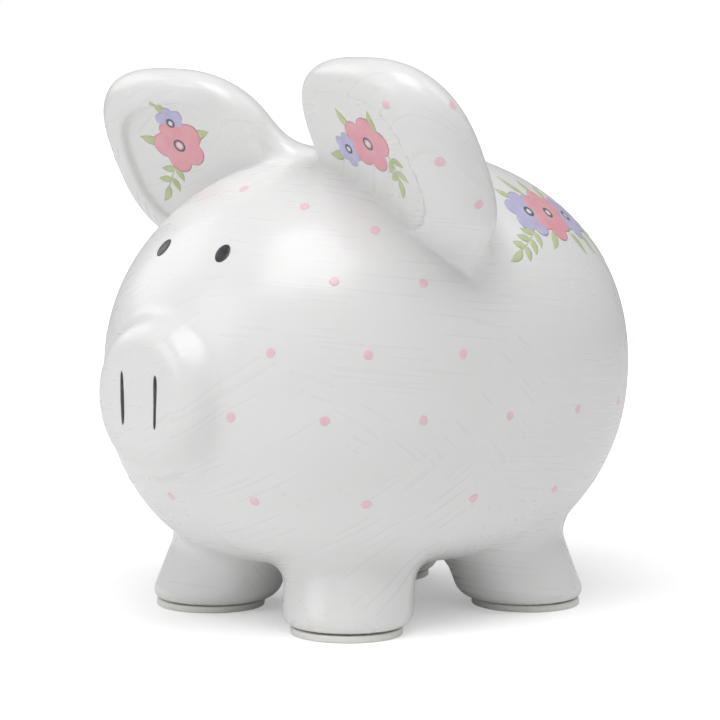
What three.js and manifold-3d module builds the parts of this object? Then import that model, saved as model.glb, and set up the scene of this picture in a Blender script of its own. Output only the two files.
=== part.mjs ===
// A slip-cast nursery piggy bank: a hollow casting on solid stub legs, two ears and a curled tail luted on,
// a pull-out rubber stopper in the belly and a thin pad under each foot.
// Millimetres, +Z up, feet on Z = 0, snout towards -Y, the pig's own left side towards +X.
import * as THREE from "three";
import { mergeVertices } from "three/addons/utils/BufferGeometryUtils.js";
import Module from "manifold-3d";

// ---- Driving dimensions ----

// Trunk: a superellipsoid whose underside is flattened into a belly.
const trunkHalfWidth = 75;
const trunkHalfLength = 95.8;
const trunkHalfHeight = 75.4;
const trunkFullness = 2.145; // 2 is an ellipsoid, larger is squarer
const bellyZ = 16.8; // clearance from the ground to the flat of the belly
const bellyFlatDepth = 11.7; // how much of the round underside the flat belly takes away
const bellyEdgeBlend = 16;
const wall = 4.5; // thickness of the cast clay

// Snout: a low disc with a rounded rim, blended into the face.
const snoutRadius = 24.1;
const snoutProud = 5.9; // how far its flat face stands in front of the trunk's tip
const snoutRimRound = 7;
const snoutBlend = 9;
const snoutDrop = 2.8; // how far its centre lies below the trunk's centre

// Legs: round stubs that lean in towards the middle of the belly as they rise.
const footRadius = 21.5;
const footEdgeRound = 7;
const legLean = 0.0071; // share of a foot's distance from the middle lost for each mm of height
const legTopAboveBelly = 22;
const frontFoot = { x: 33.6, y: -42.2 };
const rearFoot = { x: 36.4, y: 38.7 };

// Foot pads.
const padRadius = 18.3;
const padThickness = 2.2;
const padEdgeBevel = 0.5;

// Ears: wide lobes with a dished front face.
const earHalfWidth = 36.7;
const earHalfDepth = 20;
const earHalfHeight = 32.4;
const earFullness = 2.72; // outline of the lobe seen from the front: 2 is an oval
const earX = 47.5;
const earY = -34.1;
const earCentreAboveHead = 18.3; // from the head's surface under the ear's centre
const earLeanForward = 0.497; // mm forwards for each mm up
const earSweep = 0.081; // mm forwards for each mm outwards
const earFaceAhead = 12.1; // from the lobe's centre forwards to its flat face
const earFaceTurn = 0.181; // the face's own slope outwards
const earFaceTilt = 0.549; // and its own slope downwards
const earRimWidth = 6;
const earDishDepth = 2;
const rightEarLower = 5.8; // the ears are set by hand: the right one sits lower
const rightEarInwards = 1.1; // and a little nearer the middle

// Tail: a flat curl on the rump.
const tailTubeRadius = 3.1;
const tailCurlRadius = 8.5;
const tailTipRadius = 4.6;
const tailTurns = 1.1;
const tailAboveCentre = 22; // height of the curl's middle above the trunk's centre
const tailProud = 4.3; // how far it reaches behind the trunk's tip
const tailRootDepth = 8; // how far under the skin its middle line starts

// Coin slot along the spine, behind the ears.
const slotLength = 38;
const slotWidth = 5.2;
const slotCentreY = 22;

// Stopper hole in the belly and the rubber stopper that fills it.
const stopperHoleRadius = 17;
const stopperClearance = 0.2;
const stopperSeatDepth = 1.5; // flat seat for the flange, cut up into the belly
const stopperFlangeOverlap = 3.5; // flange radius beyond the hole
const stopperSeatClearance = 0.8;
const stopperFlangeThickness = 2.4;
const stopperPlugHeight = 8;
const stopperPlugWall = 3;
const stopperGripLength = 20;
const stopperGripWidth = 5;
const stopperGripHeight = 2.2;
const stopperCentreY = -2.5;

const seamGap = 0.3; // left between separate pieces that touch

// How finely the round shapes are faceted.
const trunkFacets = { around: 48, along: 32 };
const hollowFacets = { around: 32, along: 20 };
const earFacets = { around: 32, along: 20 };
const legSides = 24;
const roundSides = 32;

// ---- Sizes worked out from them ----

const trunkCentreZ = bellyZ + trunkHalfHeight - bellyFlatDepth;
const snoutZ = trunkCentreZ - snoutDrop;
const snoutFaceY = -(trunkHalfLength + snoutProud);
const footZ = padThickness + seamGap;
const legTopZ = bellyZ + legTopAboveBelly;
const seatZ = bellyZ + stopperSeatDepth;
const flangeRadius = stopperHoleRadius + stopperFlangeOverlap;
const feet = {
  front_left: { x: frontFoot.x, y: frontFoot.y },
  front_right: { x: -frontFoot.x, y: frontFoot.y },
  rear_left: { x: rearFoot.x, y: rearFoot.y },
  rear_right: { x: -rearFoot.x, y: rearFoot.y },
};

// ---- Solids ----

const wasm = await Module();
wasm.setup();

// A closed geometry as a solid that can be joined and cut.
function solid(geometry, matrix = new THREE.Matrix4()) {
  const g = geometry.clone().applyMatrix4(matrix);
  g.deleteAttribute("normal");
  g.deleteAttribute("uv");
  const merged = mergeVertices(g, 1e-4);
  return new wasm.Manifold(
    new wasm.Mesh({
      numProp: 3,
      vertProperties: merged.attributes.position.array,
      triVerts: new Uint32Array(merged.index.array),
    }),
  );
}

// A solid as a geometry, with flat-shaded faces.
function geometryOf(manifold) {
  const mesh = manifold.getMesh();
  const positions = new Float32Array(mesh.vertProperties);
  const g = new THREE.BufferGeometry();
  g.setAttribute("position", new THREE.BufferAttribute(positions, 3));
  g.setIndex(new THREE.BufferAttribute(new Uint32Array(mesh.triVerts), 1));
  const flat = g.toNonIndexed();
  flat.computeVertexNormals();
  return flat;
}

const shift = (x, y, z) => new THREE.Matrix4().makeTranslation(x, y, z);

// A lathe profile is drawn as (radius, height) and turned about Z.
const uprightTurn = new THREE.Matrix4().makeRotationX(Math.PI / 2);
function lathe(points, sides) {
  const outline = points.map(([r, z]) => new THREE.Vector2(r, z));
  return new THREE.LatheGeometry(outline, sides).applyMatrix4(uprightTurn);
}

// ---- The blended trunk and snout ----

// Smooth maximum and minimum of two distances, rounding the corner between them over k.
function smoothMin(a, b, k) {
  const h = THREE.MathUtils.clamp(0.5 + (0.5 * (b - a)) / k, 0, 1);
  return b + (a - b) * h - k * h * (1 - h);
}
const smoothMax = (a, b, k) => -smoothMin(-a, -b, k);

// Distance outside the trunk, roughly in mm, for a trunk whose skin lies `inset` further in.
function trunkDistance(p, inset) {
  const n = trunkFullness;
  const u = Math.abs(p.x) / (trunkHalfWidth - inset);
  const v = Math.abs(p.y) / (trunkHalfLength - inset);
  const w = Math.abs(p.z - trunkCentreZ) / (trunkHalfHeight - inset);
  const q = (u ** n + v ** n + w ** n) ** (1 / n);
  return smoothMax((q - 1) * trunkHalfHeight, bellyZ + inset - p.z, bellyEdgeBlend);
}

// Distance outside the snout's rounded disc, which reaches back as far as the middle of the trunk.
function snoutDistance(p, inset) {
  const r = Math.hypot(p.x, p.z - snoutZ) - (snoutRadius - inset) + snoutRimRound;
  const t = Math.max(snoutFaceY + inset + snoutRimRound - p.y, p.y);
  return Math.hypot(Math.max(r, 0), Math.max(t, 0)) + Math.min(Math.max(r, t), 0) - snoutRimRound;
}

// The trunk with its snout, as a sphere whose points move out along their rays to the skin.
// Its poles are the tips of the snout and the rump; rings crowd towards the snout.
function trunkSolid(inset, facets) {
  const g = new THREE.SphereGeometry(1, facets.around, facets.along);
  const position = g.attributes.position;
  const ray = new THREE.Vector3();
  const p = new THREE.Vector3();
  for (let i = 0; i < position.count; i++) {
    ray.fromBufferAttribute(position, i);
    const fromNose = Math.acos(THREE.MathUtils.clamp(-ray.y, -1, 1));
    const crowded = fromNose - 0.25 * Math.sin(fromNose);
    const side = Math.hypot(ray.x, ray.z);
    const stretch = side > 1e-6 ? Math.sin(crowded) / side : 0;
    ray.set(ray.x * stretch, -Math.cos(crowded), ray.z * stretch);
    let near = 0;
    let far = 2 * (trunkHalfLength + snoutProud);
    for (let step = 0; step < 40; step++) {
      const reach = (near + far) / 2;
      p.copy(ray).multiplyScalar(reach);
      p.z += trunkCentreZ;
      const d = smoothMin(trunkDistance(p, inset), snoutDistance(p, inset), snoutBlend);
      if (d < 0) near = reach;
      else far = reach;
    }
    position.setXYZ(i, p.x, p.y, p.z);
  }
  return solid(g);
}

// Height of the trunk's upper skin over a point of the ground.
function trunkTopZ(x, y) {
  const n = trunkFullness;
  const left = 1 - (Math.abs(x) / trunkHalfWidth) ** n - (Math.abs(y) / trunkHalfLength) ** n;
  return trunkCentreZ + trunkHalfHeight * Math.max(left, 0) ** (1 / n);
}

// ---- Legs ----

// A leaning stub with a rounded lower edge. The hollow of the trunk cuts its top off.
function legSolid(foot) {
  const round = footEdgeRound;
  const profile = [[0, footZ]];
  for (let i = 0; i <= 3; i++) {
    const a = (i / 3) * (Math.PI / 2);
    profile.push([footRadius - round + round * Math.sin(a), footZ + round - round * Math.cos(a)]);
  }
  profile.push([footRadius, legTopZ], [0, legTopZ]);
  const lean = new THREE.Matrix4().makeShear(0, 0, 0, 0, -foot.x * legLean, -foot.y * legLean);
  return solid(lathe(profile, legSides), shift(foot.x, foot.y, 0).multiply(lean));
}

// ---- Body casting ----

function slotCutter() {
  const r = slotWidth / 2;
  const half = slotLength / 2 - r;
  const outline = new THREE.Shape();
  outline.absarc(0, half, r, 0, Math.PI, false);
  outline.absarc(0, -half, r, Math.PI, 2 * Math.PI, false);
  const depth = trunkHalfHeight;
  const g = new THREE.ExtrudeGeometry(outline, { depth, bevelEnabled: false, curveSegments: 6 });
  return solid(g, shift(0, slotCentreY, trunkCentreZ + trunkHalfHeight / 2));
}

function stopperHoleCutter() {
  const seatRadius = flangeRadius + stopperSeatClearance;
  const below = bellyZ - stopperSeatDepth;
  const above = bellyZ + 3 * wall;
  const profile = [
    [0, below],
    [seatRadius, below],
    [seatRadius, seatZ],
    [stopperHoleRadius, seatZ],
    [stopperHoleRadius, above],
    [0, above],
  ];
  return solid(lathe(profile, roundSides), shift(0, stopperCentreY, 0));
}

function bodyCasting() {
  let outside = trunkSolid(0, trunkFacets);
  for (const foot of Object.values(feet)) {
    outside = outside.add(legSolid(foot));
  }
  const inside = trunkSolid(wall, hollowFacets);
  return outside.subtract(inside).subtract(slotCutter()).subtract(stopperHoleCutter());
}

// ---- Ears ----

// Where a lobe's centre sits, for the ear on side +1 (left) or -1 (right).
function earCentre(side) {
  const lower = side < 0 ? rightEarLower : 0;
  const inwards = side < 0 ? rightEarInwards : 0;
  const z = trunkTopZ(earX, earY) + earCentreAboveHead - lower;
  return new THREE.Vector3(side * (earX - inwards), earY, z);
}

// The whole lobe before it is cut: a squared-off oval from the front, round from the side.
function earLobe(side, inset) {
  const g = new THREE.SphereGeometry(1, earFacets.around, earFacets.along);
  const position = g.attributes.position;
  const d = new THREE.Vector3();
  const n = earFullness;
  for (let i = 0; i < position.count; i++) {
    d.fromBufferAttribute(position, i);
    const outline = (Math.abs(d.x) ** n + Math.abs(d.z) ** n) ** (1 / n);
    d.divideScalar(Math.hypot(outline, d.y));
    const x = d.x * (earHalfWidth - inset);
    const z = d.z * (earHalfHeight - inset);
    const y = d.y * (earHalfDepth - inset) - earLeanForward * z - side * earSweep * x;
    position.setXYZ(i, x, y, z);
  }
  const c = earCentre(side);
  return solid(g, shift(c.x, c.y, c.z));
}

// A block that holds everything behind the ear's face moved back by `back`.
function behindFace(side, back) {
  const size = 4 * earHalfWidth;
  const forwards = new THREE.Vector3(-side * earFaceTurn, -1, -earFaceTilt).normalize();
  const turn = new THREE.Quaternion().setFromUnitVectors(new THREE.Vector3(0, -1, 0), forwards);
  const c = earCentre(side);
  const middle = new THREE.Vector3(c.x, c.y - earFaceAhead + back, c.z);
  middle.addScaledVector(forwards, -size / 2);
  const place = new THREE.Matrix4().compose(middle, turn, new THREE.Vector3(1, 1, 1));
  return solid(new THREE.BoxGeometry(size, size, size), place);
}

function ear(side) {
  const lobe = earLobe(side, 0).intersect(behindFace(side, 0));
  const dish = earLobe(side, earRimWidth).subtract(behindFace(side, earDishDepth));
  return lobe.subtract(dish).subtract(trunkSolid(-seamGap, trunkFacets));
}

// ---- Tail ----

// A spiral that starts under the skin of the rump and winds inwards while it climbs off it.
class TailCurve extends THREE.Curve {
  getPoint(t, target = new THREE.Vector3()) {
    const angle = 2 * Math.PI * tailTurns * t;
    const r = THREE.MathUtils.lerp(tailCurlRadius, tailTipRadius, t);
    const x = r * Math.cos(angle);
    const z = tailAboveCentre + r * Math.sin(angle);
    const w = (Math.abs(z) / trunkHalfHeight) ** trunkFullness;
    const skinY = trunkHalfLength * (1 - w) ** (1 / trunkFullness);
    const tipY = trunkHalfLength + tailProud - tailTubeRadius;
    const climb = THREE.MathUtils.smoothstep(t, 0, 0.3);
    return target.set(x, THREE.MathUtils.lerp(skinY - tailRootDepth, tipY, climb), trunkCentreZ + z);
  }
}

function tail() {
  const round = new THREE.Shape().absarc(0, 0, tailTubeRadius, 0, 2 * Math.PI, false);
  const path = new TailCurve();
  const curl = new THREE.ExtrudeGeometry(round, {
    steps: 26,
    curveSegments: 5,
    bevelEnabled: false,
    extrudePath: path,
  });
  const end = path.getPoint(1);
  const tip = new THREE.SphereGeometry(tailTubeRadius, 10, 6);
  const whole = solid(curl).add(solid(tip, shift(end.x, end.y, end.z)));
  return whole.subtract(trunkSolid(-seamGap, trunkFacets));
}

// ---- Foot pads and stopper ----

function footPad(foot) {
  const bevel = padEdgeBevel;
  const profile = [
    [0, 0],
    [padRadius - bevel, 0],
    [padRadius, bevel],
    [padRadius, padThickness - bevel],
    [padRadius - bevel, padThickness],
    [0, padThickness],
  ];
  return solid(lathe(profile, roundSides), shift(foot.x, foot.y, 0));
}

// The stopper: a flange against the seat, a hollow plug up through the hole and a grip bar below.
function bellyStopper() {
  const flangeTop = seatZ - seamGap;
  const flangeBottom = flangeTop - stopperFlangeThickness;
  const plugTop = flangeTop + stopperPlugHeight;
  const plugRadius = stopperHoleRadius - stopperClearance;
  const lead = 1.5;
  const profile = [
    [0, flangeBottom],
    [flangeRadius - 0.8, flangeBottom],
    [flangeRadius, flangeBottom + 0.8],
    [flangeRadius, flangeTop],
    [plugRadius, flangeTop],
    [plugRadius, plugTop - lead],
    [plugRadius - lead, plugTop],
    [plugRadius - stopperPlugWall, plugTop],
    [plugRadius - stopperPlugWall, flangeTop],
    [0, flangeTop],
  ];
  const grip = new THREE.BoxGeometry(stopperGripLength, stopperGripWidth, stopperGripHeight + 1);
  const gripZ = flangeBottom - (stopperGripHeight - 1) / 2;
  const plug = solid(lathe(profile, roundSides), shift(0, stopperCentreY, 0));
  return plug.add(solid(grip, shift(0, stopperCentreY, gripZ)));
}

// ---- Materials ----

function finish(color, roughness, metalness = 0) {
  return new THREE.MeshStandardMaterial({ color, roughness, metalness });
}
const whiteGlaze = finish(0xf1f0ee, 0.38);
const padRubber = finish(0xe9e8e4, 0.7);
const stopperRubber = finish(0xd9d7d0, 0.62);

// ---- Assembly ----

const group = new THREE.Group();

function place(name, manifold, material) {
  const mesh = new THREE.Mesh(geometryOf(manifold), material);
  mesh.name = name;
  group.add(mesh);
}

place("body_casting", bodyCasting(), whiteGlaze);
place("left_ear", ear(1), whiteGlaze);
place("right_ear", ear(-1), whiteGlaze);
place("tail", tail(), whiteGlaze);
for (const [corner, foot] of Object.entries(feet)) {
  place("foot_pad_" + corner, footPad(foot), padRubber);
}
place("belly_stopper", bellyStopper(), stopperRubber);

export default group;
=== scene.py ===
# %% [markdown]
# # A hand-painted piggy bank
# The real bank is slip-cast: liquid clay is poured into a plaster mould, and what dries against the
# mould is a hollow shell about 4.5 mm thick. Ears and tail are stuck on with more slip, the whole is
# painted white with a soft brush, and the dots, flowers and face are painted by hand on top. A rubber
# stopper in the belly lets the coins out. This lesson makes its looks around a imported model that
# already fixes every size and place, so the first cell loads that model and keeps its box.

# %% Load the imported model
import math

import bpy
import numpy as np
from mathutils import Matrix, Vector


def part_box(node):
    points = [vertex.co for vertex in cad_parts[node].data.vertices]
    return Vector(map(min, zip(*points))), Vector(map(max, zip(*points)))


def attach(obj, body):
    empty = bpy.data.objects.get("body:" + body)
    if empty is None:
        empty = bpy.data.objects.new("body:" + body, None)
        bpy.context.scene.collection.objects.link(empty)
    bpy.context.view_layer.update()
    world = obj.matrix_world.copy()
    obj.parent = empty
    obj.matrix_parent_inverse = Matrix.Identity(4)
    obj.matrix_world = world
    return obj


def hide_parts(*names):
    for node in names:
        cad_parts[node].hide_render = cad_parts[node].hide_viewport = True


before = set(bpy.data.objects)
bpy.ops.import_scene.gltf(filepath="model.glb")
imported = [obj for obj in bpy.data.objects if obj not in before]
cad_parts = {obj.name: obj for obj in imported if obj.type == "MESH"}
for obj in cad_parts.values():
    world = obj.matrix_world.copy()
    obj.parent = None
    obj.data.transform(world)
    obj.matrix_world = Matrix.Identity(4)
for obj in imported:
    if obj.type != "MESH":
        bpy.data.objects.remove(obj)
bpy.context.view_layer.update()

print("nodes:", ", ".join(sorted(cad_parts)))

# %% [markdown]
# ## Sizes
# Blender works in metres and a potter in millimetres, so `mm` turns one into the other. The half sizes
# of the round trunk and the places of feet, ears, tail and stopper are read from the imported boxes.
# What a box can't say, such as how square the trunk is, is a named value here.

# %% Sizes of the trunk and snout
mm = 0.001
cast_low, cast_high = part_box("body_casting")
belly_height = 16.8 * mm  # from the ground to the flat of the belly
belly_cut = 11.7 * mm  # how much of the round underside the flat takes away
belly_blend = 16 * mm
half_width = cast_high.x
half_length = cast_high.y
half_height = (cast_high.z - belly_height + belly_cut) / 2
middle_z = cast_high.z - half_height
fullness = 2.145  # 2 is an ellipsoid, larger is squarer
wall = 4.5 * mm

snout_radius = 25.8 * mm
snout_face = half_length + 5.9 * mm  # in front of the middle of the trunk
snout_z = middle_z - 2.8 * mm
snout_round = 9.5 * mm
snout_blend = 4.5 * mm
print("trunk half sizes, mm:", [round(v / mm, 1) for v in (half_width, half_length, half_height)])

# %% Sizes of the legs, ears and openings
def box_middle(node):
    low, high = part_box(node)
    return (low + high) / 2


front_foot = box_middle("foot_pad_front_left")
rear_foot = box_middle("foot_pad_rear_left")
foot_radius = 21.5 * mm
foot_bottom = cast_low.z
foot_round = 4.5 * mm
leg_lean = 7.1  # share of its distance from the middle that a leg loses per metre of height
leg_top = 45 * mm
leg_blend = 7 * mm

ear_half = (36.7 * mm, 20 * mm, 32.4 * mm)
ear_fullness = 2.72
ear_y = -34.1 * mm
ear_lean = 0.497  # forwards for each unit up
ear_sweep = 0.081  # forwards for each unit outwards
ear_face_ahead = 12.1 * mm
ear_face_turn = 0.181
ear_face_tilt = 0.549
ear_rim_round = 1.8 * mm
ear_dish = 2.0 * mm
ear_rim_width = 1.8 * mm
ear_bevel = 0.8  # how steeply the rim falls back outside the ridge
ear_dish_run = 3 * mm  # how far in from the ridge the dish reaches its depth
ear_open_from = 12 * mm  # towards the head from the ear's middle, where the ridge starts to fade
ear_open_run = 12 * mm
ear_crease = 1.2 * mm  # fillet where the ear's face meets the head
ear_root = 14 * mm  # fillet where its back meets the neck
ear_root_run = 8 * mm  # depth behind the face over which one fillet turns into the other

slot_half_width = 2.6 * mm
slot_half_length = 19 * mm
slot_y = 22 * mm
slot_lip = 2.4 * mm

stopper_low, stopper_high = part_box("belly_stopper")
stopper_y = (stopper_low.y + stopper_high.y) / 2
flange_radius = stopper_high.x
hole_radius = flange_radius - 3.5 * mm
seat_radius = flange_radius + 0.8 * mm
seat_z = belly_height + 1.5 * mm
print("hole", round(2 * hole_radius / mm, 1), "mm across")

# %% [markdown]
# ## Camera
# A long lens from a little over a metre keeps the bank free of strong perspective, as in a catalogue.

# %% Camera
def put_in_scene(name, data, place=(0, 0, 0), towards=None, roll=0.0):
    """A new object with the given data. With `towards`, its own -Z looks that way, rolled by degrees."""
    made = bpy.data.objects.new(name, data)
    made.location = place
    if towards is not None:
        made.rotation_mode = "QUATERNION"
        spin = Matrix.Rotation(math.radians(roll), 3, "Z").to_quaternion()
        made.rotation_quaternion = towards.to_track_quat("-Z", "Y") @ spin
    bpy.context.scene.collection.objects.link(made)
    return made


def aim_camera(aim, azimuth, elevation, distance, lens, roll):
    """A camera that looks at `aim` from azimuth degrees round the pig and elevation degrees up."""
    a, e = math.radians(azimuth), math.radians(elevation)
    back = Vector((math.sin(a) * math.cos(e), -math.cos(a) * math.cos(e), math.sin(e)))
    data = bpy.data.cameras.new("camera")
    data.lens = lens
    data.clip_start = 0.05
    data.clip_end = 50
    camera = put_in_scene("camera", data, Vector(aim) + back * distance, -back, roll)
    bpy.context.scene.camera = camera
    return camera


aim = (-1.5 * mm, -3.6 * mm, 83.0 * mm)
camera = aim_camera(aim, azimuth=46.5, elevation=6.6, distance=1.1, lens=163, roll=0.35)
print("camera at", [round(v, 3) for v in camera.location])

# %% [markdown]
# ## Node helpers and shared effects
# Two effects are shared, each a node group: the ridges that a brush leaves, and the slow cloudiness of
# paint that isn't equally thick everywhere. A group gives out plain values only; the Principled shader
# stays in each material.

# %% A short way to add nodes
def fill(made, sockets):
    """Fills a node's sockets, by number or name, with values or links."""
    for key, value in sockets.items():
        if isinstance(value, bpy.types.NodeSocket):
            made.id_data.links.new(value, made.inputs[key])
        else:
            made.inputs[key].default_value = value


def node(tree, kind, settings=None, numbered=None, **named):
    """Adds a node, sets its properties and fills its sockets, numbered ones first."""
    made = tree.nodes.new("ShaderNode" + kind)
    for key, value in (settings or {}).items():
        setattr(made, key, value)
    fill(made, numbered or {})
    fill(made, {key.replace("_", " "): value for key, value in named.items()})
    return made


def new_material(name):
    material = bpy.data.materials.new(name)
    material.use_nodes = True
    return material, material.node_tree, material.node_tree.nodes["Principled BSDF"]


def vector_math(tree, operation, *terms):
    """The vector that an operation makes of its terms."""
    return node(tree, "VectorMath", {"operation": operation}, dict(enumerate(terms))).outputs[0]


def new_group(name, inputs, output):
    """A node group with float inputs (name: value) and one float output, and its two end nodes."""
    group = bpy.data.node_groups.new(name, "ShaderNodeTree")
    for label, value in inputs.items():
        socket = group.interface.new_socket(label, in_out="INPUT", socket_type="NodeSocketFloat")
        socket.default_value = value
    group.interface.new_socket(output, in_out="OUTPUT", socket_type="NodeSocketFloat")
    return group, group.nodes.new("NodeGroupInput"), group.nodes.new("NodeGroupOutput")


# %% [markdown]
# Brush ridges are noise stretched along the stroke. Plain stretched noise is cut into dashes where the
# skin crosses it at a slant, so the strokes run round an axis through the trunk and are the same at any
# distance from it. A painter turns the pig while painting, so there are three such axes, and a large
# soft noise picks which strokes show where.

# %% Brush strokes
stroke_centre = (0.0, 0.0, 80 * mm)  # all three stroke axes pass through here


def stroke_layer(tree, place, turn, across, round_about, seed):
    """Noise laid round an axis: `across` cells per metre up the axis, `round_about` per radian round it."""
    centred = vector_math(tree, "SUBTRACT", place, stroke_centre)
    turned = node(tree, "Mapping", Vector=centred, Rotation=turn).outputs[0]
    level = vector_math(tree, "MULTIPLY", turned, (1, 1, 0))
    heading = vector_math(tree, "NORMALIZE", level)
    arc = vector_math(tree, "MULTIPLY", heading, (round_about, round_about, 0))
    rise = vector_math(tree, "MULTIPLY_ADD", turned, (0, 0, across), arc)
    shifted = vector_math(tree, "ADD", rise, (seed, 2 * seed, -seed))
    return node(tree, "TexNoise", Vector=shifted, Scale=1.0, Detail=0.0, Roughness=0.5).outputs["Fac"]


def make_brush_strokes():
    """Strokes round three axes; each further layer takes over where the patch noise is above its edge."""
    group, start, end = new_group("brush_strokes", {"Patch Scale": 14.0}, "Height")
    place = node(group, "TexCoord").outputs["Object"]
    height = stroke_layer(group, place, (0.12, 0.0, 0.1), 850, 2.6, 3.1)
    brow = stroke_layer(group, place, (0.75, 0.35, 0.5), 760, 3.2, 7.7)
    rump = stroke_layer(group, place, (-0.6, 0.2, -0.9), 800, 2.8, 12.4)
    patches = node(group, "TexNoise", Vector=place, Scale=start.outputs["Patch Scale"], Detail=1.0)
    for layer, low, high in ((brow, 0.44, 0.52), (rump, 0.56, 0.62)):
        edge = node(group, "MapRange", Value=patches.outputs["Fac"], From_Min=low, From_Max=high)
        mixed = node(group, "Mix", {"data_type": "FLOAT"}, {0: edge.outputs[0], 2: height, 3: layer})
        height = mixed.outputs[0]
    fill(end, {"Height": height})
    return group


brush_strokes = make_brush_strokes()
print("group", brush_strokes.name, "has", len(brush_strokes.nodes), "nodes")

# %% [markdown]
# Cloudiness is noise with finer noise on top, its contrast stretched round the middle. It moves a colour
# a little between its thick and its thin tone, and at another scale the same mask gives grains or specks.

# %% Cloudy paint
def make_cloudy():
    group, start, end = new_group("cloudy", {"Scale": 60.0, "Contrast": 1.0}, "Mask")
    place = node(group, "TexCoord").outputs["Object"]
    noise = node(group, "TexNoise", Vector=place, Scale=start.outputs["Scale"], Detail=4.0, Roughness=0.62)
    centred = node(group, "Math", {"operation": "SUBTRACT"}, {0: noise.outputs["Fac"], 1: 0.5})
    terms = {0: centred.outputs[0], 1: start.outputs["Contrast"], 2: 0.5}
    spread = node(group, "Math", {"operation": "MULTIPLY_ADD", "use_clamp": True}, terms)
    fill(end, {"Mask": spread.outputs[0]})
    return group


cloudy = make_cloudy()
print("group", cloudy.name, "has", len(cloudy.nodes), "nodes")

# %% [markdown]
# ## Paints
# Paint and rubber share two steps. The cloudy mask chooses between two tones, and a second mask sets the
# roughness and raises the surface through a Bump node. Paint takes the brush strokes for that mask,
# their crests a little glossier than their valleys, and a thin coat of clear varnish. Colours are given
# as on a painter's chart, 0 to 255, and turned into the linear values that Blender works in.

# %% Paint mixing
def tone(*chart):
    """A chart colour, 0 to 255, as a linear colour with alpha."""
    parts = [c / 255 for c in chart]
    linear = [c / 12.92 if c <= 0.04045 else ((c + 0.055) / 1.055) ** 2.4 for c in parts]
    return (*linear, 1.0)


def cloudy_material(name, first, second, cloud_scale, contrast):
    """A Principled material whose colour wanders between two chart colours."""
    material, tree, shader = new_material(name)
    clouds = node(tree, "Group", {"node_tree": cloudy}, Scale=cloud_scale, Contrast=contrast)
    ramp = node(tree, "ValToRGB", Fac=clouds.outputs["Mask"])
    for element, colour in zip(ramp.color_ramp.elements, (first, second)):
        element.color = tone(*colour)
    fill(shader, {"Base Color": ramp.outputs["Color"]})
    return material, tree, shader


def texture_with(tree, shader, mask, at_low, at_high, height, low=0.0, high=1.0):
    """Roughness goes from at_low to at_high as the mask goes from low to high; the mask also raises."""
    shine = node(tree, "MapRange", Value=mask, From_Min=low, From_Max=high, To_Min=at_low, To_Max=at_high)
    normal = node(tree, "Bump", Strength=1.0, Distance=height, Height=mask).outputs["Normal"]
    fill(shader, {"Roughness": shine.outputs[0], "Normal": normal})
    return normal


def mix_paint(name, thick, thin, roughness, cloud_scale, ridge=0.05 * mm, contrast=2.2, coat=0.25):
    """Brushed paint. `ridge` is the height of the brush ridges in metres."""
    material, tree, shader = cloudy_material(name, thick, thin, cloud_scale, contrast)
    strokes = node(tree, "Group", {"node_tree": brush_strokes}).outputs["Height"]
    normal = texture_with(tree, shader, strokes, roughness + 0.02, roughness - 0.02, ridge, 0.3, 0.7)
    fill(shader, {"Coat Normal": normal, "Coat Weight": coat, "Coat Roughness": 0.16})
    return material


# %% The paints on the shelf
white_paint = mix_paint("white_paint", (241, 241, 241), (236, 236, 235), 0.29, 22, 0.03 * mm, 1.4)
pink_paint = mix_paint("pink_paint", (234, 158, 170), (240, 180, 189), 0.4, 190)
lilac_paint = mix_paint("lilac_paint", (184, 180, 220), (206, 203, 232), 0.4, 190)
leaf_paint = mix_paint("leaf_paint", (184, 199, 142), (205, 216, 172), 0.42, 210)
dot_paint = mix_paint("dot_paint", (243, 200, 211), (247, 218, 225), 0.4, 260)
ring_paint = mix_paint("ring_paint", (78, 92, 98), (112, 124, 130), 0.42, 300)
heart_paint = mix_paint("heart_paint", (240, 240, 240), (222, 226, 230), 0.4, 300)
ink_paint = mix_paint("ink_paint", (22, 24, 26), (66, 68, 74), 0.34, 620, 0.2 * mm, 3.4, 0.4)
print(len(bpy.data.materials), "materials")

# %% [markdown]
# ## Stage
# The background must stay plain white, and the floor may only show the soft shadow under the feet. So a
# Light Path node gives the camera a pure white world and everything else a dimmer one. For the camera
# alone the floor also glows, a little round the pig, so that only real shade shows, and fully further
# out, where it has to meet the room. From below it is clear, so the stopper and pads can be seen.

# %% White room and floor
def make_room(strength):
    """A world that is pure white to the camera and lights everything else at `strength`."""
    world = bpy.data.worlds.new("white_room")
    world.use_nodes = True
    tree = world.node_tree
    seen = tree.nodes["Background"]
    fill(seen, {"Color": (1, 1, 1, 1)})
    lighting = node(tree, "Background", Color=(1.0, 1.0, 1.0, 1), Strength=strength)
    to_camera = node(tree, "LightPath").outputs["Is Camera Ray"]
    pick = node(tree, "MixShader", None, {0: to_camera, 1: lighting.outputs[0], 2: seen.outputs[0]})
    fill(tree.nodes["World Output"], {"Surface": pick.outputs[0]})
    bpy.context.scene.world = world


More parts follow.
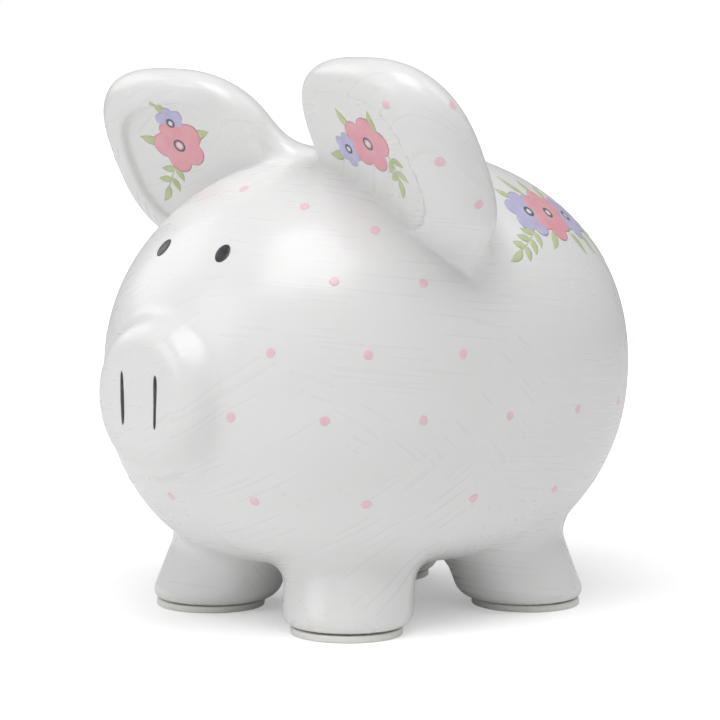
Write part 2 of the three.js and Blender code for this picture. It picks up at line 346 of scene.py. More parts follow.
def make_floor(half_size, glow, fade_from=0.2, fade_to=0.7):
    """A matt square, clear from below. Its glow for the camera rises to 1 between two distances."""
    corners = [(-half_size, -half_size, 0), (half_size, -half_size, 0)]
    corners += [(half_size, half_size, 0), (-half_size, half_size, 0)]
    mesh = bpy.data.meshes.new("floor")
    mesh.from_pydata(corners, [], [(0, 1, 2, 3)])
    floor = put_in_scene("floor", mesh)
    sweep, tree, shader = new_material("white_sweep")
    fill(shader, {"Base Color": (0.93, 0.93, 0.93, 1), "Roughness": 0.9, "Specular IOR Level": 0.1})
    place = node(tree, "TexCoord").outputs["Object"]
    away = node(tree, "VectorMath", {"operation": "LENGTH"}, Vector=place)
    edges = {"From_Min": fade_from, "From_Max": fade_to, "To_Min": glow}
    fade = node(tree, "MapRange", Value=away.outputs["Value"], **edges)
    to_camera = node(tree, "LightPath").outputs["Is Camera Ray"]
    seen = node(tree, "Math", {"operation": "MULTIPLY"}, {0: fade.outputs[0], 1: to_camera})
    fill(shader, {"Emission Color": (1, 1, 1, 1), "Emission Strength": seen.outputs[0]})
    clear = node(tree, "BsdfTransparent").outputs[0]
    below = node(tree, "NewGeometry").outputs["Backfacing"]
    one_way = node(tree, "MixShader", None, {0: below, 1: shader.outputs[0], 2: clear})
    fill(tree.nodes["Material Output"], {"Surface": one_way.outputs[0]})
    mesh.materials.append(sweep)


make_room(0.36)
make_floor(12.0, 0.3)
bpy.context.scene.view_settings.view_transform = "Standard"

# %% [markdown]
# Soft boxes are area lights. A large one overhead does most of the work and gives the broad sheen on
# brow and back, with a faint one behind it for the rump. Two weaker ones stand before the face and on the
# pig's right, so that the face is the brightest part and the flank turns slowly darker towards the tail.

# %% Soft boxes
def soft_box(name, place, size, power):
    """A square area light at `place` that faces the middle of the pig."""
    light = bpy.data.lights.new(name, "AREA")
    light.size = size
    light.energy = power
    put_in_scene(name, light, place, Vector((0, 0, middle_z)) - Vector(place))


soft_box("overhead_box", (0.3, -0.4, 1.25), 0.9, 8.6)
soft_box("back_box", (0.5, 0.8, 1.2), 0.8, 2.4)
soft_box("face_box", (-0.35, -1.35, 0.75), 0.8, 3.1)
soft_box("side_box", (-1.2, -0.35, 0.8), 0.8, 2.3)

# %% [markdown]
# ## The shape of the casting as one distance
# Trunk, snout, legs and ears flow into each other in soft fillets, which a joined set of meshes can't
# give. So the casting is described by one function that says how far a point is outside the clay:
# negative inside, zero on the skin. The smaller of two distances joins two solids, the larger one cuts,
# and rounding that choice over a few millimetres makes the fillet. All functions take whole arrays.

# %% Soft joins and cuts
def angles(count):
    """Angles evenly round a circle."""
    return np.linspace(0, 2 * math.pi, count, endpoint=False)


def unit(vectors):
    """Each vector brought to length one."""
    return vectors / np.linalg.norm(vectors, axis=-1, keepdims=True)


def quadratic(a, b, c, t):
    """The quadratic curve that leaves a towards b and arrives at c."""
    return (1 - t) ** 2 * a + 2 * t * (1 - t) * b + t**2 * c


def soft_min(a, b, blend):
    """The smaller of two distances, with the corner between them rounded over `blend`."""
    share = np.clip(0.5 + 0.5 * (b - a) / blend, 0, 1)
    return b + (a - b) * share - blend * share * (1 - share)


def soft_max(a, b, blend):
    """The larger of two distances, rounded in the same way."""
    return -soft_min(-a, -b, blend)


def smooth_step(t):
    """Rises from 0 to 1 with level ends: t²(3 − 2t), with t kept between 0 and 1."""
    t = np.clip(t, 0, 1)
    return t * t * (3 - 2 * t)


def rounded_rod(across, along, edge):
    """A rod from the distances outside its side and its end: both moved in by `edge`, then rounded."""
    r, t = across + edge, along + edge
    return np.hypot(np.maximum(r, 0), np.maximum(t, 0)) + np.minimum(np.maximum(r, t), 0) - edge


# %% [markdown]
# The trunk is a superellipsoid: the nth powers of x/A, y/B and z/C added up, and the nth root taken.
# That is a share of the size, so it is turned into a length. The flat belly cuts it softly. Hand-made
# things are never exact, so two slow waves of a tenth of a millimetre run over the skin.

# %% Trunk, snout and legs
def trunk_distance(x, y, z, inset=0.0):
    """(q − 1) times a length, q = (|x/A|^n + |y/B|^n + |z/C|^n)^(1/n), softly cut by the belly."""
    u = np.abs(x) / (half_width - inset)
    v = np.abs(y) / (half_length - inset)
    w = np.abs(z - middle_z) / (half_height - inset)
    q = (u**fullness + v**fullness + w**fullness) ** (1 / fullness)
    reach = np.sqrt(x * x + y * y + (z - middle_z) ** 2) / np.maximum(q, 0.3)
    return soft_max((q - 1) * 0.5 * (half_height + reach), belly_height + inset - z, belly_blend)


def snout_distance(x, y, z):
    """A disc on the pig's nose, its axis along Y, that reaches back into the trunk."""
    across = np.hypot(x, z - snout_z) - snout_radius
    along = np.maximum(-y - snout_face, y + half_length / 2)
    return rounded_rod(across, along, snout_round)


def leg_distance(x, y, z, foot):
    """A round stub whose axis leans towards the middle as it rises."""
    lean = 1 - leg_lean * z
    across = np.hypot(x - foot.x * lean, y - foot.y * lean) - foot_radius
    along = np.maximum(foot_bottom - z, z - leg_top)
    return rounded_rod(across, along, foot_round)


def hand_waves(x, y, z):
    """Two products of slow sine waves, a tenth of a millimetre high."""
    first = np.sin(x / (13 * mm) + 1.3) * np.sin(y / (17 * mm) + 0.4)
    second = np.sin(z / (15 * mm) + 2.0) * np.cos(x / (19 * mm) + y / (31 * mm))
    return 0.09 * mm * (first + second)


# %% [markdown]
# An ear is a lobe that is oval from the side and squarer from the front. A slanting plane cuts its
# face flat. A ridge runs round the face: outside it a rim falls back, and inside it the face is sunk.
# On the side next to the head the ridge fades out and the sunk face runs on. In front the fillet to the
# head is tight, as if a wooden tool had run along it; behind, the slip was smoothed wide.

# %% Ears
ear_spots = {}
for side, ear_node in ((1, "left_ear"), (-1, "right_ear")):
    low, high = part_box(ear_node)
    ear_spots[side] = Vector((side * (low.x + high.x) / 2, ear_y, high.z - ear_half[2]))


def ear_distances(x, y, z, side):
    """The dished lobe's distance, and how far a point lies in front of its flat face."""
    spot = ear_spots[side]
    u, v, w = side * x - spot.x, y - spot.y, z - spot.z
    leaned = v + ear_lean * w + ear_sweep * u
    powers = np.abs(u / ear_half[0]) ** ear_fullness + np.abs(w / ear_half[2]) ** ear_fullness
    outline = powers ** (1 / ear_fullness)
    q = np.hypot(outline, leaned / ear_half[1])
    reach = np.sqrt(u * u + leaned * leaned + w * w) / np.maximum(q, 0.3)
    lobe = (q - 1) * 0.5 * (min(ear_half) + reach)
    slope = math.sqrt(1 + ear_face_turn**2 + ear_face_tilt**2)
    ahead = -(v + ear_face_ahead + ear_face_turn * u + ear_face_tilt * w) / slope
    inwards = -lobe - ear_rim_width
    inner_side = smooth_step((-u - ear_open_from) / ear_open_run)
    dish = ear_dish * np.maximum(smooth_step(inwards / ear_dish_run), inner_side)
    bevel = ear_bevel * np.maximum(-inwards, 0) * (1 - inner_side)
    return soft_max(lobe, ahead + dish + bevel, ear_rim_round), ahead


def skin_distance(x, y, z):
    """Distance outside the clay: trunk, snout, legs and ears softly joined, with the hand's waves."""
    d = soft_min(trunk_distance(x, y, z), snout_distance(x, y, z), snout_blend)
    for foot in (front_foot, rear_foot):
        d = soft_min(d, leg_distance(np.abs(x), y, z, foot), leg_blend)
    for side in ear_spots:
        ear, ahead = ear_distances(x, y, z, side)
        blend = ear_crease + (ear_root - ear_crease) * smooth_step((-ahead - ear_dish) / ear_root_run)
        d = soft_min(d, ear, blend)
    return d + hand_waves(x, y, z)


# %% [markdown]
# The coin slot is a stadium, a straight line with a round at each end, cut through the back, and the
# stopper hole has a flat seat for the stopper's flange. Their lips are rounded a little, because clay
# is wiped with a sponge before firing.

# %% Hollow, slot and hole
def casting_distance(x, y, z):
    """The skin with the hollow, the slot and the stopper's hole taken out of it."""
    d = np.maximum(skin_distance(x, y, z), -trunk_distance(x, y, z, wall))
    straight = slot_half_length - slot_half_width
    slot = np.hypot(x, np.maximum(np.abs(y - slot_y) - straight, 0)) - slot_half_width
    slot = np.maximum(slot, middle_z - z)
    d = soft_max(d, -slot, slot_lip)
    off_axis = np.hypot(x, y - stopper_y)
    seat = np.maximum(off_axis - seat_radius, z - seat_z)
    hole = np.maximum(np.minimum(off_axis - hole_radius, seat), z - middle_z)
    return soft_max(d, -hole, 1.0 * mm)


# %% [markdown]
# ## From the distance to a mesh
# The distance is worked out at the corners of a grid of boxes, finer where the ears, the slot and the
# belly need it. Each box that the skin passes through gets one vertex, each grid edge that crosses the
# skin gets one face, and the vertices then slide down the slope of the distance onto the skin.

# %% Grid and crossing boxes
def graded(stops, sizes):
    """Grid lines from stop to stop, each stretch cut into equal steps no longer than its size."""
    lines = [np.array([stops[0]])]
    for low, high, size in zip(stops[:-1], stops[1:], sizes):
        count = math.ceil((high - low) / size)
        lines.append(np.linspace(low, high, count + 1)[1:])
    return np.concatenate(lines) * mm


def net_of_faces(values, lines):
    """Surface nets: a vertex in each box at the mean of its crossings, a face over each crossed edge."""
    corners = np.stack(np.meshgrid(*lines, indexing="ij"), -1)
    boxes = tuple(n - 1 for n in values.shape)
    total, count = np.zeros((*boxes, 3)), np.zeros(boxes)
    faces = []
    for axis in range(3):
        start, stop = [slice(None)] * 3, [slice(None)] * 3
        start[axis], stop[axis] = slice(0, -1), slice(1, None)
        a, b = values[tuple(start)], values[tuple(stop)]
        crossed = (a < 0) != (b < 0)
        at = np.argwhere(crossed)
        share = (a[crossed] / (a[crossed] - b[crossed]))[:, None]
        point = corners[tuple(start)][crossed] * (1 - share) + corners[tuple(stop)][crossed] * share
        ring = []
        for back_1, back_2 in ((0, 0), (1, 0), (1, 1), (0, 1)):
            box = at.copy()
            box[:, (axis + 1) % 3] -= back_1
            box[:, (axis + 2) % 3] -= back_2
            np.add.at(total, tuple(box.T), point)
            np.add.at(count, tuple(box.T), 1)
            ring.append(np.ravel_multi_index(tuple(box.T), boxes))
        quads = np.stack(ring, 1)
        outward = a[crossed] > 0
        quads[outward] = quads[outward][:, ::-1]
        faces.append(quads)
    used, faces = np.unique(np.concatenate(faces), return_inverse=True)
    verts = total.reshape(-1, 3)[used] / count.reshape(-1, 1)[used]
    return verts, faces.reshape(-1, 4)


# %% Sliding onto the skin
def slope_of(distance, points, step=0.05 * mm):
    """How fast the distance grows along X, Y and Z, from a small step each way."""
    slopes = []
    for axis in np.eye(3) * step:
        ahead, behind = points + axis, points - axis
        slopes.append((distance(*ahead.T) - distance(*behind.T)) / (2 * step))
    return np.stack(slopes, 1)


def slide_onto(distance, points, times=3):
    """Newton's steps down the slope: minus distance times slope over slope squared."""
    for _ in range(times):
        slope = slope_of(distance, points)
        steep = np.maximum((slope * slope).sum(1), 0.05)
        points = points - slope * (distance(*points.T) / steep)[:, None]
    return points


# %% [markdown]
# ## Closed shells and pieces
# Everything smaller than the casting is a closed shell: rings of points with a start and an end point,
# like a tube whose ends are drawn together. One function joins the rings into faces and one turns the
# arrays into a Blender piece.

# %% Shells
def bands(rings, count):
    """Quads from each of the first `count` rings to the next one, the first ring following the last."""
    m, n = rings.shape[:2]
    here, ring = np.arange(n), np.arange(count)[:, None]
    after, onward = (here + 1) % n, (ring + 1) % m
    quads = [ring * n + here, ring * n + after, onward * n + after, onward * n + here]
    return np.stack(quads, -1).reshape(-1, 4)


def closed_shell(rings, start, end):
    """Faces for rings (m, n, 3): quads between the rings, triangles to a start and an end point."""
    m, n = rings.shape[:2]
    verts = np.concatenate([rings.reshape(-1, 3), [start], [end]])
    here = np.arange(n)
    after = (here + 1) % n
    last = (m - 1) * n
    caps = [np.stack([after, here, np.full(n, m * n)], 1)]
    caps.append(np.stack([last + here, last + after, np.full(n, m * n + 1)], 1))
    return outward_shell(verts, bands(rings, m - 1), np.concatenate(caps))


def closed_ring(rings):
    """Faces for rings (m, n, 3) whose last ring joins the first, as round a doughnut."""
    return outward_shell(rings.reshape(-1, 3), bands(rings, len(rings)), np.zeros((0, 3), int))


def outward_shell(verts, quads, tris):
    """Turns all faces round if the shell's signed volume, the sum of corner products, is negative."""
    fans = np.concatenate([quads[:, :3], quads[:, [0, 2, 3]], tris])
    a, b, c = (verts[fans[:, k]] - verts.mean(0) for k in range(3))
    if (a * np.cross(b, c)).sum() < 0:
        quads, tris = quads[:, ::-1], tris[:, ::-1]
    return verts, quads, tris


def join_shells(shells):
    """Several shells as one set of arrays."""
    verts, quads, tris, base = [], [], [], 0
    for v, q, t in shells:
        verts.append(v)
        quads.append(q + base)
        tris.append(t + base)
        base += len(v)
    return np.concatenate(verts), np.concatenate(quads), np.concatenate(tris)


# %% Pieces
def make_piece(name, shell, paint, body="bank"):
    """A smooth-shaded mesh from arrays, with its paint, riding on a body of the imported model."""
    verts, quads, tris = shell
    mesh = bpy.data.meshes.new(name)
    mesh.vertices.add(len(verts))
    mesh.vertices.foreach_set("co", np.asarray(verts, np.float32).ravel())
    corners = np.concatenate([quads.ravel(), tris.ravel()]).astype(np.int32)
    sizes = np.concatenate([np.full(len(quads), 4), np.full(len(tris), 3)]).astype(np.int32)
    mesh.loops.add(len(corners))
    mesh.loops.foreach_set("vertex_index", corners)
    mesh.polygons.add(len(sizes))
    mesh.polygons.foreach_set("loop_start", (np.cumsum(sizes) - sizes).astype(np.int32))
    mesh.polygons.foreach_set("loop_total", sizes)
    mesh.polygons.foreach_set("use_smooth", np.ones(len(sizes), bool))
    mesh.update(calc_edges=True)
    mesh.validate()
    mesh.materials.append(paint)
    piece = put_in_scene(name, mesh)
    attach(piece, body)
    print(name, len(verts), "vertices", 2 * len(quads) + len(tris), "triangles")
    return piece


# %% [markdown]
# The casting's grid is finest across the slot and up in the ears, where rims and creases are tight, and
# coarsest round the plain middle of the trunk.

# %% The casting
lines = (
    graded([-87, -5, 5, 87], [1.6, 0.9, 1.6]),
    graded([-105, -64, -20, 99], [2.0, 1.16, 2.2]),
    graded([0.5, 26, 122, 189], [1.9, 2.6, 1.16]),
)
values = casting_distance(*np.meshgrid(*lines, indexing="ij"))
cast_verts, cast_faces = net_of_faces(values, lines)
cast_verts = slide_onto(casting_distance, cast_verts)
casting = make_piece("glazed_casting", (cast_verts, cast_faces, np.zeros((0, 3), int)), white_paint)
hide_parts("body_casting", "left_ear", "right_ear")

# %% [markdown]
# ## Tail
# The tail is a thin roll of clay wound into a curl: a circle carried square along a spiral. Its radius
# swells at the root, where slip joins it to the rump, and shrinks at the tip.

# %% The tail
def tube_rings(path, radii, around=20, up=(0.0, 1.0, 0.0)):
    """A circle of the given radii at each path point, square to the path's direction."""
    along = unit(np.gradient(path, axis=0))
    side = unit(np.cross(along, up))
    top = np.cross(side, along)
    turn = angles(around)[:, None]
    offsets = np.cos(turn) * side[:, None] + np.sin(turn) * top[:, None]
    return path[:, None] + radii[:, None, None] * offsets


def make_tail():
    """Spiral of angle 2πkt with a shrinking radius, climbing off the rump in the first third."""
    _, tail_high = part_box("tail")
    thickness, curl, tip, turns = 3.1 * mm, 8.5 * mm, 4.6 * mm, 1.1
    t = np.linspace(0, 1, 90)
    angle = 2 * math.pi * turns * t
    radius = curl + (tip - curl) * t
    x, z = radius * np.cos(angle), 22 * mm + radius * np.sin(angle)
    skin_y = half_length * (1 - np.abs(z / half_height) ** fullness) ** (1 / fullness)
    crest = tail_high.y - thickness
    buried = skin_y - 8 * mm
    y = buried + (crest - buried) * smooth_step(t / 0.3)
    path = np.stack([x, y, z + middle_z], 1)
    root = 1.5 * mm * np.exp(-((t - 0.09) / 0.05) ** 2)
    taper = 1 - 0.35 * smooth_step((t - 0.6) / 0.4)
    end_round = np.sqrt(np.clip(1 - np.clip((t - 0.93) / 0.07, 0, 1) ** 2, 0.002, 1))
    radii = (thickness + root) * taper * end_round
    return closed_shell(tube_rings(path, radii), path[0], path[-1])


tail = make_piece("curled_tail", make_tail(), white_paint)
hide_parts("tail")

# %% [markdown]
# ## Laying paint on the skin
# Marks made as a mask in the white paint's nodes would have no edge to catch the light. Here each is a
# thin closed shell. It is drawn flat, as on paper, on the plane that touches the skin at one spot. Each
# point is then dropped along that plane's normal onto the skin and raised by the paint's thickness.

# %% Flat drawing to skin
def skin_frame(spot):
    """Slides a spot onto the skin: the spot, its outward normal, and right and up on its plane."""
    spot = slide_onto(skin_distance, np.array([spot], float), 6)
    normal = unit(slope_of(skin_distance, spot)[0])
    up = unit(np.array([0.0, 0.0, 1.0]) - normal * normal[2])
    return spot[0], normal, np.cross(up, normal), up


def lay_on_skin(frame_at, flat, height):
    """Flat points (…, 2) dropped onto the skin along the frame's normal and raised by `height`."""
    spot, normal, right, up = frame_at
    shape = flat.shape[:-1]
    points = spot + flat.reshape(-1, 2) @ np.stack([right, up])
    for _ in range(6):
        slope = slope_of(skin_distance, points)
        facing = np.maximum(slope @ normal, 0.25)
        points = points - normal * (skin_distance(*points.T) / facing)[:, None]
    outward = unit(slope_of(skin_distance, points))
    points = points + outward * np.broadcast_to(height, shape).reshape(-1, 1)
    return points.reshape(*shape, 3)


# %% [markdown]
# Three kinds of mark are enough. A dab is a slightly domed patch, its outline a radius for each
# direction. A stroke is a line whose width changes, as a pointed brush leaves, and a hoop is a line
# closed on itself. All dip a little under the skin, so that no gap shows at their edge.

# %% Dabs and strokes
sunk = -0.12 * mm


def dab(frame_at, outline, centre=(0.0, 0.0), height=0.15 * mm):
    """A domed patch: rings from the sunk middle out to the edge, over it, and back in on top."""
    n = len(outline)
    turn = angles(n)
    edge = np.stack([outline * np.cos(turn), outline * np.sin(turn)], 1)
    shares = np.array([0.55, 0.97, 1.0, 0.93, 0.72, 0.38])
    levels = np.array([sunk, sunk, 0.35 * height, 0.8 * height, 0.97 * height, height])
    flat = np.asarray(centre) + shares[:, None, None] * edge
    rings = lay_on_skin(frame_at, flat, levels[:, None])
    ends = lay_on_skin(frame_at, np.array([centre, centre], float), np.array([sunk, height]))
    return closed_shell(rings, ends[0], ends[1])


def lifted(section, height):
    """Height of each angle of a section: up to `height` above the skin, down to `sunk` below it."""
    return np.where(np.sin(section) > 0, height, -sunk) * np.sin(section)


def stroke(frame_at, line, widths, height=0.12 * mm, around=8):
    """A flattened oval section carried along a flat line of points, as wide as `widths` says."""
    along = unit(np.gradient(line, axis=0))
    across = np.stack([-along[:, 1], along[:, 0]], 1)
    turn = angles(around)
    flat = line[:, None] + 0.5 * widths[:, None, None] * np.cos(turn)[:, None] * across[:, None]
    rings = lay_on_skin(frame_at, flat, lifted(turn, height))
    return closed_shell(rings, rings[0].mean(0), rings[-1].mean(0))


def hoop(frame_at, centre, radius, width, height=0.22 * mm, around=28):
    """A flattened oval section carried round a circle: the ring at the heart of a flower."""
    turn = angles(around)[:, None]
    section = angles(8)[None]
    out = radius + 0.5 * width * np.cos(section)
    flat = np.stack([out * np.cos(turn), out * np.sin(turn)], -1)
    return closed_ring(lay_on_skin(frame_at, flat + np.asarray(centre), lifted(section, height)))


# %% [markdown]
# ## Dots
# The dots stand in rows round the body, about 34 mm apart, each row shifted against the one below. A
# row's dots lie at equal steps of the trunk's own angle: how far round its squashed circle a point is.
# No two dabs are the same size, so a seeded random number changes each a little.

# %% Rows of dots
random = np.random.default_rng(7)


def side_spot(degrees, height):
    """A point just outside the trunk at an angle round it, 0 at the snout, and a height."""
    angle = math.radians(degrees)
    level = abs(height - middle_z) / half_height
    shrink = max(1 - level**fullness, 0.05) ** (1 / fullness)
    return (half_width * shrink * math.sin(angle), -half_length * shrink * math.cos(angle), height)


def dot(spot, radius=1.55 * mm):
    """A round dab, a little uneven: its radius swells twice and three times on the way round."""
    turn = angles(14)
    a, b = random.uniform(0, 2 * math.pi, 2)
    size = radius * random.uniform(0.9, 1.1)
    outline = size * (1 + 0.05 * np.cos(2 * turn + a) + 0.03 * np.cos(3 * turn + b))
    return dab(skin_frame(spot), outline, height=0.14 * mm)


row_sag = 2.5 * mm  # a row stands this much higher at the snout and lower at the tail
step = 20.4
# height, first angle, angle from dot to dot, how many, and which are left out for the flowers
rows = [
    (72 * mm, 23.2, step, 8, ()),
    (92.4 * mm, 32.0, step, 8, (3, 4)),
    (114 * mm, 44.6, step, 7, (2, 3, 4)),
    (45 * mm, 26.1, 26.1, 6, ()),
]
dots = []
for height, first, spacing, count, left_out in rows:
    for k in range(count):
        if k not in left_out:
            for side in (1, -1):
                degrees = first + spacing * k
                sag = row_sag * math.cos(math.radians(degrees))
                dots.append(dot(side_spot(side * degrees, height + sag)))
dots.append(dot(side_spot(-2, 45 * mm)))
print(len(dots), "dots round the body")

# %% [markdown]
# Three more dots climb the forehead between the ears, and a few sit on the outside and the back of each
# ear. The ears' dots are placed once and mirrored, in mm outwards, back and up from the lobe's middle.

# %% Forehead and ears
for degrees, height in ((0, 143 * mm), (32, 138 * mm), (54, 131 * mm)):
    dots.append(dot(side_spot(degrees, height)))

ear_dots = [
    (19.4, -24.1, 18.1),  # on the rim, for the left ear only
    (31.8, -12.8, 0.7),
    (35.2, 1.1, -12.9),
    (33.5, -9.5, 18.2),
    (8.0, 6.0, 22.0),
    (14.0, 18.0, -2.0),
]
for side, spot in ear_spots.items():
    for out, back, up in ear_dots[side < 0 :]:
        dots.append(dot(((spot.x + out * mm) * side, spot.y + back * mm, spot.z + up * mm)))
pink_dots = make_piece("pink_dots", join_shells(dots), dot_paint)

# %% [markdown]
# ## Face
# The eyes are upright ovals of thick black paint, and the nostrils are two single downward strokes.

# %% Eyes and nostrils
def eye(side):
    turn = angles(40)
    wide, tall = 2.6 * mm, 3.45 * mm
    outline = wide * tall / np.hypot(tall * np.cos(turn), wide * np.sin(turn))
    spot = (side * 14.3 * mm, -78.4 * mm, 123.6 * mm)
    return dab(skin_frame(spot), outline, height=0.3 * mm)


def nostril(side):
    t = np.linspace(0, 1, 26)
    sway = 0.25 * mm * np.sin(2.6 * t + 1.2 * side)
    line = np.stack([sway, (0.5 - t) * 17.3 * mm], 1)
    body_width = 1.55 * mm + 0.25 * mm * np.sin(5 * t + side)
    ends = np.sqrt(np.clip(1 - np.abs(2 * t - 1) ** 7, 0.004, 1))
    spot = (side * 8.0 * mm, -snout_face, snout_z)
    return stroke(skin_frame(spot), line, body_width * ends, height=0.22 * mm, around=12)


face_marks = make_piece("face_marks", join_shells([eye(1), eye(-1), nostril(1), nostril(-1)]), ink_paint)

# %% [markdown]
# ## Flowers
# Each posy is drawn in flat millimetres, right and up from the heart of its pink flower. A flower's
# outline is a circle whose radius swells once for each petal. A leaf is a stroke that is widest just
# below its middle, and a sprig is a thin curved stem with a pair of small leaves at each node and one at
# its end. Lower layers are thinner, so that the pink flower lies on top as it was painted last.

# %% Petals, leaves and sprigs
def flower(frame_at, centre, radius, petals, turned, height):
    """Radius R(0.72 + 0.28 |cos(kθ/2)|^0.7) round the flower, each petal a little its own size."""
    turn = angles(12 * petals)
    lobes = np.abs(np.cos(petals * (turn - turned) / 2)) ** 0.7
    own = 1 + 0.06 * np.sin(turn * 2 + turned) + 0.04 * np.sin(turn * 3)
    return dab(frame_at, radius * (0.72 + 0.28 * lobes) * own, centre, height)


def add_heart(marks, frame_at, centre, radius):
    """Adds the hoop of a flower's heart and the pale dab inside it to a posy's marks."""
    marks["rings"].append(hoop(frame_at, centre, radius, 0.9 * radius))
    marks["hearts"].append(dab(frame_at, np.full(16, 0.7 * radius), centre, 0.2 * mm))


def leaf(frame_at, base, tip, width, height=0.1 * mm):
    """Width w·sin(πt^0.8)^0.8, widest a little before the middle, along a slightly bowed line."""
    t = np.linspace(0, 1, 14)
    base, tip = np.array(base, float), np.array(tip, float)
    span = tip - base
    bow = np.array([-span[1], span[0]]) * 0.08
    line = base + t[:, None] * span + np.sin(math.pi * t)[:, None] * bow
    widths = width * np.clip(np.sin(math.pi * t**0.8), 0.03, 1) ** 0.8
    return stroke(frame_at, line, widths, height)


def sprig(frame_at, points, pairs, leaf_length, leaf_width):
    """A stem through a quadratic curve of three points, leaf pairs along it and one leaf at its end."""
    t = np.linspace(0, 1, 18)[:, None]
    a, b, c = (np.array(p, float) for p in points)
    line = quadratic(a, b, c, t)
    shells = [stroke(frame_at, line, np.full(len(line), 0.55 * mm), 0.08 * mm)]
    for k in range(pairs):
        at = (k + 0.6) / (pairs + 0.6)
        here = quadratic(a, b, c, at)
        forward = unit(2 * (1 - at) * (b - a) + 2 * at * (c - b))
        sideways = np.array([-forward[1], forward[0]])
        for side in (1, -1):
            reach = leaf_length * (0.62 * forward + side * 0.78 * sideways) * (1 - 0.06 * k)
            shells.append(leaf(frame_at, here, here + reach, leaf_width))
    forward = unit(c - b)
    shells.append(leaf(frame_at, c - 0.3 * leaf_length * forward, c + leaf_length * forward, leaf_width))
    return shells


# %% [markdown]
# A posy is a small list of marks by paint, and each paint of a posy becomes one piece, so a colour can
# be changed without touching the others.

# %% Posies
lower_coat, upper_coat = 0.13 * mm, 0.18 * mm  # paint heights of lilac and pink petals
posy_paints = {
    "leaves": leaf_paint,
    "lilac": lilac_paint,
    "pink": pink_paint,
    "rings": ring_paint,
    "hearts": heart_paint,
}


def paint_posy(name, marks):
    """Makes one piece for each paint that has marks in the posy."""
    for part, shells in marks.items():
        piece = make_piece(name + "_" + part, join_shells(shells), posy_paints[part])


def flat_mm(*points, side=1):
    """Flat points given in millimetres. Side -1 turns the drawing over, so right becomes left."""
    return [np.array((side * a, b), float) * mm for a, b in points]


def ear_posy(name, side, spot, lilac, leaves, stem):
    """Pink flower with a lilac one beside it, three leaves and a hanging sprig."""
    at = skin_frame(spot)
    marks = {part: [] for part in posy_paints}
    for base, tip in leaves:
        marks["leaves"].append(leaf(at, *flat_mm(base, tip), 3.6 * mm))
    marks["leaves"] += sprig(at, flat_mm(*stem), 2, 6.0 * mm, 2.7 * mm)
    centre, radius = flat_mm(lilac[:2])[0], lilac[2] * mm
    marks["lilac"].append(flower(at, centre, radius, 6, 0.4 * side, lower_coat))
    marks["pink"].append(flower(at, (0, 0), 10.6 * mm, 5, 0.95 + 0.3 * side, upper_coat))
    add_heart(marks, at, (0, 0), 2.0 * mm)
    add_heart(marks, at, centre, 1.35 * mm)
    paint_posy(name, marks)


ear_posy(
    "left_ear_posy", 1, (46.8 * mm, -46.2 * mm, 159.2 * mm), (-12.9, -2.5, 6.4),
    [((-6.3, 5.0), (-10.4, 12.4)), ((-17.0, -4.2), (-25.3, -5.0)), ((7.0, 3.9), (7.9, 12.0))],
    [(8.0, -3.0), (10.4, -8.5), (8.2, -14.0)],
)
ear_posy(
    "right_ear_posy", -1, (-44.2 * mm, -46.8 * mm, 155 * mm), (-0.6, 8.6, 6.2),
    [((-1.5, 12.0), (-4.6, 18.2)), ((-8.0, 1.6), (-16.0, 3.0)), ((6.5, 2.2), (14.4, 5.7))],
    [(-3.9, -6.2), (-7.2, -11.5), (-11.8, -17.6)],
)

# %% [markdown]
# The bouquet on the rump has three flowers in a row, lilac, pink and lilac, with a sprig hanging at
# each end and a few plain leaves. It is painted on both flanks, and the second uses the same drawing
# turned over.

# %% Rump bouquets
bouquet_leaves = [
    ((-6, -7), (-12.3, -13.2)),
    ((-13, 9), (-17.0, 15.0)),
    ((-4, 9), (-6.0, 20.0)),
    ((3, 9), (5.0, 17.0)),
    ((9, 6), (14.0, 13.5)),
    ((5, -9), (8.7, -17.4)),
    ((14, -9), (18.2, -17.3)),
]


def rump_bouquet(name, side):
    """Three flowers in a row, seven leaves and two sprigs."""
    at = skin_frame((side * 50 * mm, 33 * mm, 134 * mm))
    marks = {part: [] for part in posy_paints}
    for base, tip in bouquet_leaves:
        marks["leaves"].append(leaf(at, *flat_mm(base, tip, side=side), 3.2 * mm))
    back_stem = flat_mm((-15, -4), (-22, -8.0), (-30.5, -10), side=side)
    front_stem = flat_mm((18, -4), (26, -7.5), (32, -13), side=side)
    marks["leaves"] += sprig(at, back_stem, 3, 6.4 * mm, 2.9 * mm)
    marks["leaves"] += sprig(at, front_stem, 2, 6.0 * mm, 2.7 * mm)
    centres = flat_mm((0, 0), (-11.5, 2.1), (13.9, -1.6), side=side)
    for k, centre in enumerate(centres[1:]):
        marks["lilac"].append(flower(at, centre, 10.2 * mm, 6, 0.5 + k, lower_coat))
    marks["pink"].append(flower(at, (0, 0), 11.4 * mm, 6, 0.3, upper_coat))
    for centre, size in zip(centres, (1.75, 1.65, 1.65)):
        add_heart(marks, at, centre, size * mm)
    paint_posy(name, marks)


rump_bouquet("left_rump_bouquet", 1)
rump_bouquet("right_rump_bouquet", -1)

# %% [markdown]
# ## Foot pads and stopper
# Pads and stopper are moulded rubber, matt and faintly grainy. Each is a profile of radius and height
# turned about an upright axis, its corners rounded by small quadratic curves.

# %% Rubber
def mix_rubber(name, light, dark, roughness, grain):
    """Moulded rubber: specks for the colour, finer specks for the grain."""
    material, tree, shader = cloudy_material(name, light, dark, 350, 1.6)
    grains = node(tree, "Group", {"node_tree": cloudy}, Scale=2200.0, Contrast=1.8).outputs["Mask"]
    texture_with(tree, shader, grains, roughness - 0.08, roughness + 0.08, grain)
    return material


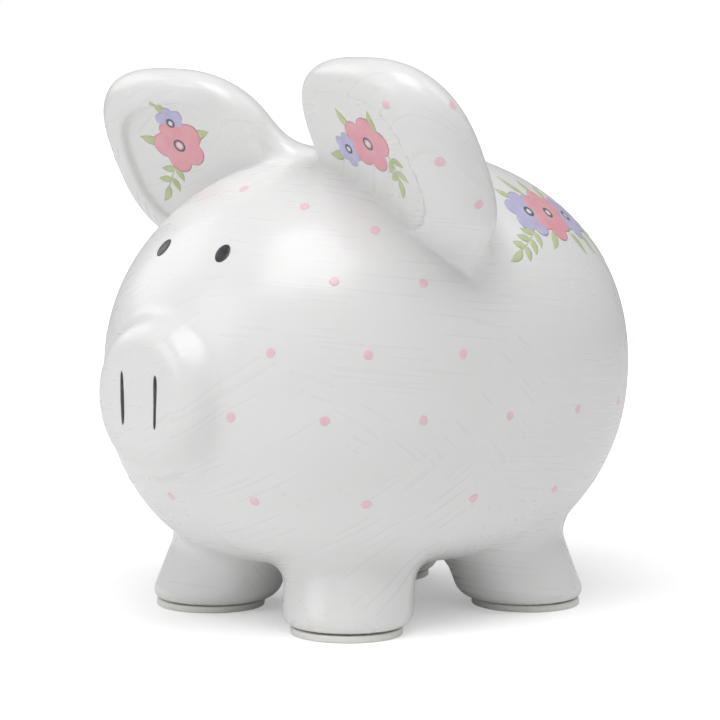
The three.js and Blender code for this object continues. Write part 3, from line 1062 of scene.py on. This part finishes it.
pad_rubber = mix_rubber("pad_rubber", (244, 243, 239), (236, 235, 230), 0.6, 0.02 * mm)
stopper_rubber = mix_rubber("stopper_rubber", (226, 223, 215), (210, 207, 198), 0.5, 0.02 * mm)


# %% Turned profiles
def rounded_profile(corners):
    """A profile from (radius, height, rounding) corners, each rounding a small curve of 5 points."""
    points = []
    spots = np.array([(r, z) for r, z, _ in corners], float)
    for k, (r, z, rounding) in enumerate(corners):
        here = spots[k]
        if rounding <= 0:
            points.append(here)
            continue
        start = here + unit(spots[k - 1] - here) * rounding
        stop = here + unit(spots[k + 1] - here) * rounding
        points += [quadratic(start, here, stop, t) for t in np.linspace(0, 1, 5)]
    return np.array(points)


def turned(corners, x, y, around=72):
    """The profile carried round an upright axis at (x, y). It starts and ends on the axis."""
    profile = rounded_profile(corners)
    turn = angles(around)
    inner = profile[1:-1]
    heights = np.broadcast_to(inner[:, 1:], (len(inner), around))
    rings = np.stack([x + inner[:, :1] * np.cos(turn), y + inner[:, :1] * np.sin(turn), heights], -1)
    return closed_shell(rings, (x, y, profile[0][1]), (x, y, profile[-1][1]))


# %% Foot pads
for corner in ("front_left", "front_right", "rear_left", "rear_right"):
    low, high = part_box("foot_pad_" + corner)
    spot, reach = (low + high) / 2, (high.x - low.x) / 2
    soft = 0.6 * mm
    profile = [(0, 0, 0), (reach, 0, soft), (reach, high.z, soft), (0, high.z, 0)]
    pad = make_piece("rubber_pad_" + corner, turned(profile, spot.x, spot.y), pad_rubber)
    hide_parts("foot_pad_" + corner)

# %% [markdown]
# The stopper is a shallow cup with a flange. Ribs round the cup grip the hole, and the bar under the
# flange is what fingers pull. Cup and flange are one turned profile; the bar is a stadium that narrows
# downwards, its upper end sunk a little into the flange.

# %% Stopper
def make_cup(flange_bottom):
    """Flange, ribbed cup and the cup's shallow hollow as one turned profile."""
    top = stopper_high.z
    flange_top = flange_bottom + 2.4 * mm
    floor = flange_top + 0.4 * mm
    cup = hole_radius - 0.35 * mm
    inside = cup - 3 * mm
    profile = [(0, flange_bottom, 0), (flange_radius, flange_bottom, 0.9 * mm)]
    profile += [(flange_radius, flange_top, 0.5 * mm), (cup, flange_top, 0.3 * mm)]
    for rib in range(3):
        low = flange_top + (1.2 + 2.0 * rib) * mm
        profile.append((cup, low, 0.1 * mm))
        profile.append((cup + 0.3 * mm, low + 0.5 * mm, 0.15 * mm))
        profile.append((cup, low + mm, 0.1 * mm))
    profile += [(cup - 1.3 * mm, top, 0.5 * mm), (inside, top, 0.5 * mm)]
    profile += [(inside, floor, 1.0 * mm), (0, floor, 0)]
    return turned(profile, 0, stopper_y)


def make_bar(flange_bottom, half_long=10 * mm, half_wide=2.5 * mm):
    """The pull bar: stadiums at growing drops under the flange, each pulled in a little more."""
    turn = angles(48)
    levels = np.array([(-1.0, 0.0), (0.0, 0.0), (1.4, 0.25), (2.0, 0.7), (2.2, 1.3)]) * mm
    rings = []
    for drop, pull_in in levels:
        radius = half_wide - pull_in
        x = radius * np.cos(turn) + np.sign(np.cos(turn)) * (half_long - half_wide)
        y = stopper_y + radius * np.sin(turn)
        rings.append(np.stack([x, y, np.full(len(turn), flange_bottom - drop)], 1))
    rings = np.array(rings)
    return closed_shell(rings, rings[0].mean(0), rings[-1].mean(0))


def make_stopper():
    flange_bottom = stopper_high.z - 10.4 * mm
    return join_shells([make_cup(flange_bottom), make_bar(flange_bottom)])


stopper = make_piece("rubber_stopper", make_stopper(), stopper_rubber, body="stopper")
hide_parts("belly_stopper")
